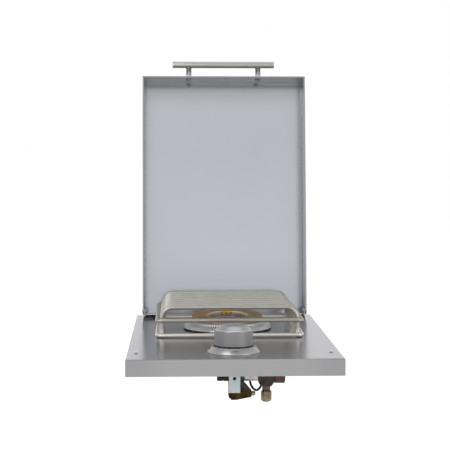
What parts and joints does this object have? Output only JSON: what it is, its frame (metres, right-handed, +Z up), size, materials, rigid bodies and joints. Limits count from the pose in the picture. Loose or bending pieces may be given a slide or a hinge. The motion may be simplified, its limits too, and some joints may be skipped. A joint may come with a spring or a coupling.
{
  "type": "built in side burner",
  "caption": "Drop-in gas side burner: tray with hinged lid and bar handle, wire grate, ring burner on a drip pan, push-and-turn knob and gas valve.",
  "frame": {"origin": "middle of the front rest flange's underside, the face that lies on the counter beside the cut-out", "axes": "+X to the right, +Y away from the user, +Z up; the lid is open, the knob is at OFF"},
  "size_m": [0.322, 0.5452, 0.5454],
  "materials": {
    "brushed_steel": "satin brushed",
    "satin_steel": "fine satin",
    "satin_metal": "satin",
    "wire_steel": "drawn wire",
    "pan_steel": "bright, fluted",
    "screw_steel": "plain",
    "burner_brass": "cast",
    "valve_brass": "dull cast",
    "dark_bronze": "dark patina",
    "red_bronze": "reddish patina",
    "olive_brass": "dull",
    "pipe_steel": "plain",
    "zinc_plate": "zinc plated",
    "black_plastic": "moulded",
    "lead_jacket": "silicone jacket",
    "ceramic": "glazed",
    "clear_rubber": "soft",
    "black_rubber": "soft"
  },
  "bodies": {
    "burner": {"tray": "brushed_steel", "rest_frame": "brushed_steel", "lid_bumper_left": "clear_rubber", "lid_bumper_right": "clear_rubber", "stop_strip": "black_rubber", "igniter_module": "black_plastic", "ignition_lead": "lead_jacket", "hinge_bracket_left": "brushed_steel", "hinge_bracket_right": "brushed_steel", "hinge_pin_left": "screw_steel", "hinge_pin_right": "screw_steel", "hinge_washer_left": "clear_rubber", "hinge_washer_right": "clear_rubber", "hinge_screw_left": "screw_steel", "hinge_screw_right": "screw_steel", "grate_lower_ring": "wire_steel", "grate_upper_ring": "wire_steel", "grate_bar_1": "wire_steel", "grate_bar_2": "wire_steel", "grate_bar_3": "wire_steel", "grate_bar_4": "wire_steel", "grate_bar_5": "wire_steel", "grate_bar_6": "wire_steel", "grate_bar_7": "wire_steel", "grate_bar_8": "wire_steel", "drip_pan": "pan_steel", "burner_base": "burner_brass", "burner_cap": "burner_brass", "burner_strap": "brushed_steel", "burner_screw_left": "screw_steel", "burner_screw_right": "screw_steel", "electrode_ceramic": "ceramic", "electrode_wire": "screw_steel", "electrode_clip": "brushed_steel", "bezel": "satin_metal", "bezel_screw_left": "screw_steel", "bezel_screw_right": "screw_steel", "valve_bonnet": "valve_brass", "valve_body": "valve_brass", "test_nipple": "zinc_plate", "bracket_plate": "zinc_plate", "end_plug": "valve_brass", "inlet_pipe": "pipe_steel", "tee_fitting": "dark_bronze", "tee_plug": "red_bronze", "flare_fitting": "olive_brass", "flare_nut": "olive_brass", "orifice": "burner_brass", "mixer_tube": "pipe_steel"},
    "lid": {"lid": "brushed_steel", "handle_bar": "satin_steel", "handle_post_left": "satin_steel", "handle_post_right": "satin_steel", "handle_screw_left": "screw_steel", "handle_screw_right": "screw_steel"},
    "plug": {"valve_plug": "burner_brass", "return_spring": "screw_steel"},
    "knob": {"knob": "satin_metal", "valve_stem": "valve_brass"},
    "shutter": {"air_shutter": "brushed_steel"}
  },
  "joints": [
    {"name": "lid_hinge", "type": "hinge", "parent": "burner", "child": "lid", "pos_m": [0, 0.44, 0.0394], "axis": [1, 0, 0], "range_deg": [0, 96.6]},
    {"name": "knob_turn", "type": "hinge", "parent": "burner", "child": "plug", "pos_m": [0, 0.062, 0.0254], "axis": [0, 0, 1], "range_deg": [0, 180]},
    {"name": "knob_push", "type": "slide", "parent": "plug", "child": "knob", "axis": [0, 0, -1], "range_m": [0, 0.003], "stiffness_N_per_m": 500, "springref_m": -0.004, "deforming": ["return_spring"]},
    {"name": "shutter_turn", "type": "hinge", "parent": "burner", "child": "shutter", "pos_m": [0, 0.0899, -0.0006], "axis": [0, 1, 0], "range_deg": [0, 60]}
  ]
}
